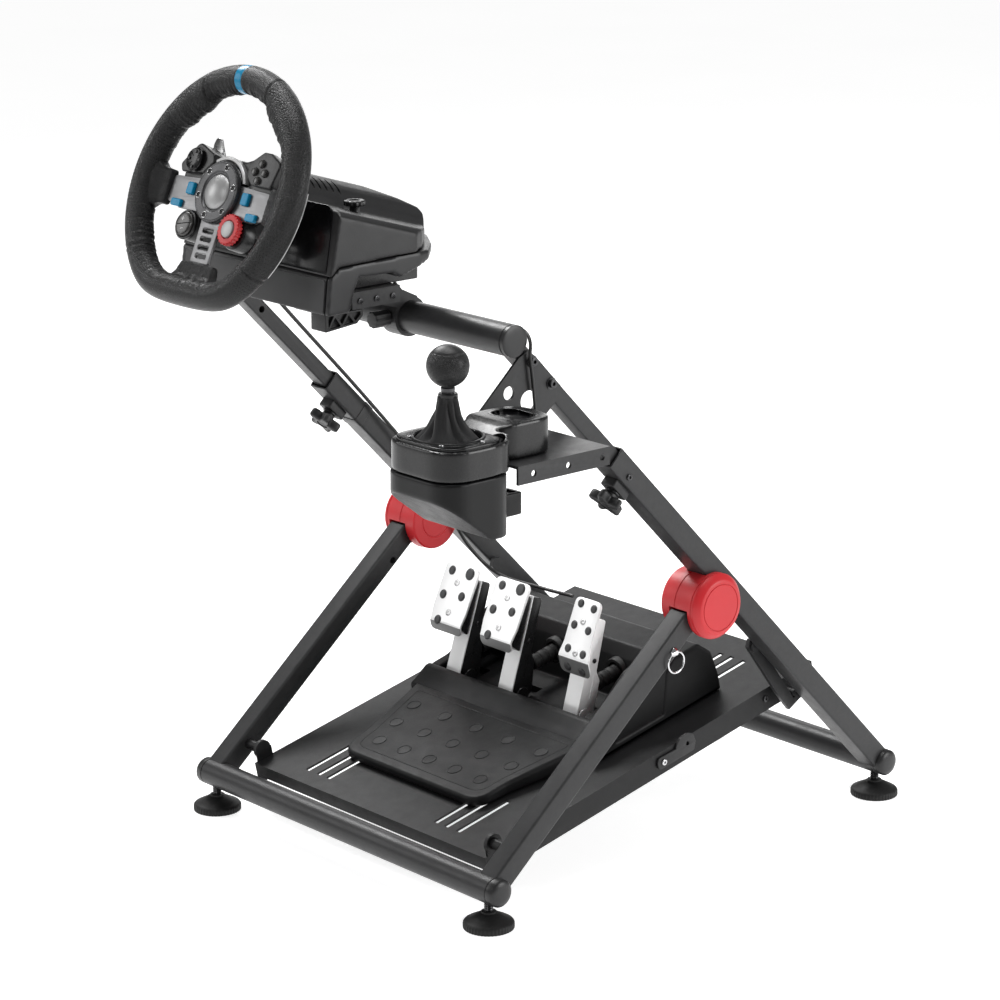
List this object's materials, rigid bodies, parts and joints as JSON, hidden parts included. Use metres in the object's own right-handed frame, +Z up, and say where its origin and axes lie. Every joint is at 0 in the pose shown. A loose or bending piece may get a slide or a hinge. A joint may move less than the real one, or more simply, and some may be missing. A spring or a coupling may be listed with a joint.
{
  "type": "racing_wheel",
  "caption": "Racing wheel on a folding stand: leather rim on a force-feedback base, side shifter with ball knob, and a pedal set on a sloping plate",
  "frame": {"origin": "on the floor, under the middle of the bounding box", "axes": "+Z up; the driver sits at -Y and looks along +Y, so +X is the driver's right"},
  "size_m": [0.6346, 0.8582, 0.9074],
  "materials": {
    "powder_coat": "fine-textured matte black powder coat",
    "hub_red": "satin red moulded plastic",
    "dial_red": "satin red",
    "black_plastic": "satin moulded",
    "grey_plastic": "satin dark grey",
    "button_grey": "satin light grey",
    "accent_blue": "gloss blue",
    "leather": "perforated and stitched black leather",
    "rubber": "matte",
    "brushed_metal": "brushed dark metal",
    "bright_steel": "brushed bright metal",
    "cord_jacket": "satin black cable jacket"
  },
  "bodies": {
    "rear_frame": {"rear_floor_bar": "powder_coat", "outer_upright_left": "powder_coat", "outer_upright_right": "powder_coat", "hub_left": "hub_red", "hub_right": "hub_red", "pedal_cable": "cord_jacket"},
    "foot_rear_left": {"foot_rear_left": "rubber"},
    "foot_rear_right": {"foot_rear_right": "rubber"},
    "hanger_left": {"plate_hanger_left": "powder_coat"},
    "hanger_right": {"plate_hanger_right": "powder_coat"},
    "lock_knob_left": {"lock_knob_left": "black_plastic"},
    "lock_knob_right": {"lock_knob_right": "black_plastic"},
    "slider": {"inner_upright_left": "powder_coat", "inner_upright_right": "powder_coat", "crossbar": "powder_coat", "shifter_bracket": "powder_coat", "shifter_lower_housing": "black_plastic", "shifter_upper_housing": "black_plastic", "shifter_cable": "cord_jacket"},
    "wheel_mount": {"wheel_deck": "powder_coat", "base_lower_housing": "grey_plastic", "base_upper_housing": "black_plastic"},
    "deck_knob": {"deck_knob": "black_plastic"},
    "clamp_left": {"base_clamp_left": "black_plastic"},
    "clamp_right": {"base_clamp_right": "black_plastic"},
    "base_knob_left": {"base_knob_left": "black_plastic"},
    "base_knob_right": {"base_knob_right": "black_plastic"},
    "steering": {"steering_shaft": "brushed_metal", "wheel_rim": "leather", "spoke_plate": "brushed_metal", "control_housing": "black_plastic", "hub_ring": "grey_plastic"},
    "direction_pad": {"direction_pad": "black_plastic"},
    "face_button_top": {"face_button_top": "button_grey"},
    "face_button_right": {"face_button_right": "button_grey"},
    "face_button_bottom": {"face_button_bottom": "button_grey"},
    "face_button_left": {"face_button_left": "button_grey"},
    "accent_button_upper_left": {"accent_button_upper_left": "accent_blue"},
    "accent_button_upper_right": {"accent_button_upper_right": "accent_blue"},
    "accent_button_lower_left": {"accent_button_lower_left": "accent_blue"},
    "accent_button_lower_right": {"accent_button_lower_right": "accent_blue"},
    "plus_minus_rocker": {"plus_minus_rocker": "black_plastic"},
    "selector_dial": {"selector_dial": "dial_red"},
    "paddle_left": {"shift_paddle_left": "button_grey"},
    "paddle_right": {"shift_paddle_right": "button_grey"},
    "gimbal": {"shift_gimbal": "bright_steel"},
    "lever": {"shift_lever": "bright_steel", "shift_knob": "black_plastic", "shift_boot": "leather"},
    "front_frame": {"front_floor_bar": "powder_coat", "front_leg_left": "powder_coat", "front_leg_right": "powder_coat"},
    "foot_front_left": {"foot_front_left": "rubber"},
    "foot_front_right": {"foot_front_right": "rubber"},
    "locking_pin": {"locking_pin": "bright_steel"},
    "pedal_plate": {"pedal_plate": "powder_coat", "pedal_base": "black_plastic"},
    "pedal_left": {"pedal_left": "bright_steel"},
    "pedal_centre": {"pedal_centre": "bright_steel"},
    "pedal_right": {"pedal_right": "bright_steel"}
  },
  "joints": [
    {"name": "stand_fold", "type": "hinge", "parent": "rear_frame", "child": "front_frame", "pos_m": [-0.04775, 0.10459, 0.29907], "axis": [1, 0, 0], "range_deg": [0, 86], "deforming": ["pedal_cable"]},
    {"name": "height_slide", "type": "slide", "parent": "rear_frame", "child": "slider", "axis": [0, -0.7038, 0.7104], "range_m": [-0.09, 0.05], "deforming": ["pedal_cable"]},
    {"name": "wheel_tilt", "type": "hinge", "parent": "slider", "child": "wheel_mount", "pos_m": [-0.04775, -0.18908, 0.63989], "axis": [1, 0, 0], "range_deg": [-15, 15], "deforming": ["pedal_cable", "shifter_cable"]},
    {"name": "steering_turn", "type": "hinge", "parent": "wheel_mount", "child": "steering", "pos_m": [-0.04775, -0.37147, 0.7821], "axis": [0, -0.9184, 0.3955], "range_deg": [-450, 450]},
    {"name": "face_button_top_press", "type": "slide", "parent": "steering", "child": "face_button_top", "axis": [0, 0.9184, -0.3955], "range_m": [0, 0.0015], "stiffness_N_per_m": 300},
    {"name": "face_button_right_press", "type": "slide", "parent": "steering", "child": "face_button_right", "axis": [0, 0.9184, -0.3955], "range_m": [0, 0.0015], "stiffness_N_per_m": 300},
    {"name": "face_button_bottom_press", "type": "slide", "parent": "steering", "child": "face_button_bottom", "axis": [0, 0.9184, -0.3955], "range_m": [0, 0.0015], "stiffness_N_per_m": 300},
    {"name": "face_button_left_press", "type": "slide", "parent": "steering", "child": "face_button_left", "axis": [0, 0.9184, -0.3955], "range_m": [0, 0.0015], "stiffness_N_per_m": 300},
    {"name": "accent_button_upper_left_press", "type": "slide", "parent": "steering", "child": "accent_button_upper_left", "axis": [0, 0.9184, -0.3955], "range_m": [0, 0.001], "stiffness_N_per_m": 300},
    {"name": "accent_button_upper_right_press", "type": "slide", "parent": "steering", "child": "accent_button_upper_right", "axis": [0, 0.9184, -0.3955], "range_m": [0, 0.001], "stiffness_N_per_m": 300},
    {"name": "accent_button_lower_left_press", "type": "slide", "parent": "steering", "child": "accent_button_lower_left", "axis": [0, 0.9184, -0.3955], "range_m": [0, 0.001], "stiffness_N_per_m": 300},
    {"name": "accent_button_lower_right_press", "type": "slide", "parent": "steering", "child": "accent_button_lower_right", "axis": [0, 0.9184, -0.3955], "range_m": [0, 0.001], "stiffness_N_per_m": 300},
    {"name": "direction_pad_tilt", "type": "hinge", "parent": "steering", "child": "direction_pad", "pos_m": [-0.09675, -0.36027, 0.80809], "axis": [1, 0, 0], "range_deg": [-5, 5], "stiffness_Nm_per_rad": 0.3},
    {"name": "rocker_tilt", "type": "hinge", "parent": "steering", "child": "plus_minus_rocker", "pos_m": [-0.08625, -0.38433, 0.74464], "axis": [1, 0, 0], "range_deg": [-4, 4], "stiffness_Nm_per_rad": 0.3},
    {"name": "dial_turn", "type": "hinge", "parent": "steering", "child": "selector_dial", "pos_m": [-0.00925, -0.38555, 0.7494], "axis": [0, -0.9184, 0.3955], "continuous": true},
    {"name": "paddle_left_pull", "type": "hinge", "parent": "steering", "child": "paddle_left", "pos_m": [-0.07875, -0.33891, 0.78768], "axis": [0, 0.3955, 0.9184], "range_deg": [0, 4], "stiffness_Nm_per_rad": 0.5},
    {"name": "paddle_right_pull", "type": "hinge", "parent": "steering", "child": "paddle_right", "pos_m": [-0.01675, -0.33891, 0.78768], "axis": [0, -0.3955, -0.9184], "range_deg": [0, 4], "stiffness_Nm_per_rad": 0.5},
    {"name": "base_knob_left_turn", "type": "hinge", "parent": "wheel_mount", "child": "base_knob_left", "pos_m": [-0.12775, -0.25387, 0.764], "axis": [0, 0, 1], "range_deg": [0, 1800]},
    {"name": "clamp_left_drop", "type": "slide", "parent": "wheel_mount", "child": "clamp_left", "axis": [0, 0, 1], "range_m": [-0.015, 0]},
    {"name": "base_knob_right_turn", "type": "hinge", "parent": "wheel_mount", "child": "base_knob_right", "pos_m": [0.03225, -0.25387, 0.764], "axis": [0, 0, 1], "range_deg": [0, 1800]},
    {"name": "clamp_right_drop", "type": "slide", "parent": "wheel_mount", "child": "clamp_right", "axis": [0, 0, 1], "range_m": [-0.015, 0]},
    {"name": "deck_knob_turn", "type": "hinge", "parent": "wheel_mount", "child": "deck_knob", "pos_m": [0.03225, -0.22087, 0.63989], "axis": [0, 1, 0], "continuous": true},
    {"name": "lock_knob_left_turn", "type": "hinge", "parent": "rear_frame", "child": "lock_knob_left", "pos_m": [-0.28725, -0.03822, 0.44488], "axis": [0, -0.7104, -0.7038], "continuous": true},
    {"name": "hanger_left_swing", "type": "hinge", "parent": "rear_frame", "child": "hanger_left", "pos_m": [-0.26625, 0.20985, 0.2203], "axis": [1, 0, 0], "range_deg": [-60, 0]},
    {"name": "foot_rear_left_screw", "type": "hinge", "parent": "rear_frame", "child": "foot_rear_left", "pos_m": [-0.28725, 0.40113, 0.01], "axis": [0, 0, 1], "continuous": true},
    {"name": "foot_front_left_screw", "type": "hinge", "parent": "front_frame", "child": "foot_front_left", "pos_m": [-0.28725, -0.21087, 0.01], "axis": [0, 0, 1], "continuous": true},
    {"name": "lock_knob_right_turn", "type": "hinge", "parent": "rear_frame", "child": "lock_knob_right", "pos_m": [0.19175, -0.03822, 0.44488], "axis": [0, -0.7104, -0.7038], "continuous": true},
    {"name": "hanger_right_swing", "type": "hinge", "parent": "rear_frame", "child": "hanger_right", "pos_m": [0.17075, 0.20985, 0.2203], "axis": [1, 0, 0], "range_deg": [-60, 0]},
    {"name": "foot_rear_right_screw", "type": "hinge", "parent": "rear_frame", "child": "foot_rear_right", "pos_m": [0.19175, 0.40113, 0.01], "axis": [0, 0, 1], "continuous": true},
    {"name": "foot_front_right_screw", "type": "hinge", "parent": "front_frame", "child": "foot_front_right", "pos_m": [0.19175, -0.21087, 0.01], "axis": [0, 0, 1], "continuous": true},
    {"name": "shifter_fore_aft", "type": "hinge", "parent": "slider", "child": "gimbal", "pos_m": [0.26525, -0.32887, 0.554], "axis": [1, 0, 0], "range_deg": [-12, 12]},
    {"name": "shifter_side", "type": "hinge", "parent": "gimbal", "child": "lever", "pos_m": [0.26525, -0.32887, 0.554], "axis": [0, 1, 0], "range_deg": [-9, 9], "stiffness_Nm_per_rad": 1.5},
    {"name": "locking_pin_pull", "type": "slide", "parent": "front_frame", "child": "locking_pin", "axis": [1, 0, 0], "range_m": [0, 0.03]},
    {"name": "plate_fold", "type": "hinge", "parent": "front_frame", "child": "pedal_plate", "pos_m": [-0.04775, -0.172, 0.07515], "axis": [1, 0, 0], "range_deg": [0, 27.6], "deforming": ["pedal_cable"]},
    {"name": "pedal_left_press", "type": "hinge", "parent": "pedal_plate", "child": "pedal_left", "pos_m": [-0.16475, 0.06883, 0.13468], "axis": [-1, 0, 0], "range_deg": [0, 20], "stiffness_Nm_per_rad": 6},
    {"name": "pedal_centre_press", "type": "hinge", "parent": "pedal_plate", "child": "pedal_centre", "pos_m": [-0.07275, 0.06883, 0.13468], "axis": [-1, 0, 0], "range_deg": [0, 20], "stiffness_Nm_per_rad": 14},
    {"name": "pedal_right_press", "type": "hinge", "parent": "pedal_plate", "child": "pedal_right", "pos_m": [0.02825, 0.06883, 0.13468], "axis": [-1, 0, 0], "range_deg": [0, 20], "stiffness_Nm_per_rad": 4}
  ],
  "couplings": [
    {"joint": "base_knob_left_turn", "follows": "clamp_left_drop", "rad_per_m": -2094.4},
    {"joint": "base_knob_right_turn", "follows": "clamp_right_drop", "rad_per_m": -2094.4}
  ]
}
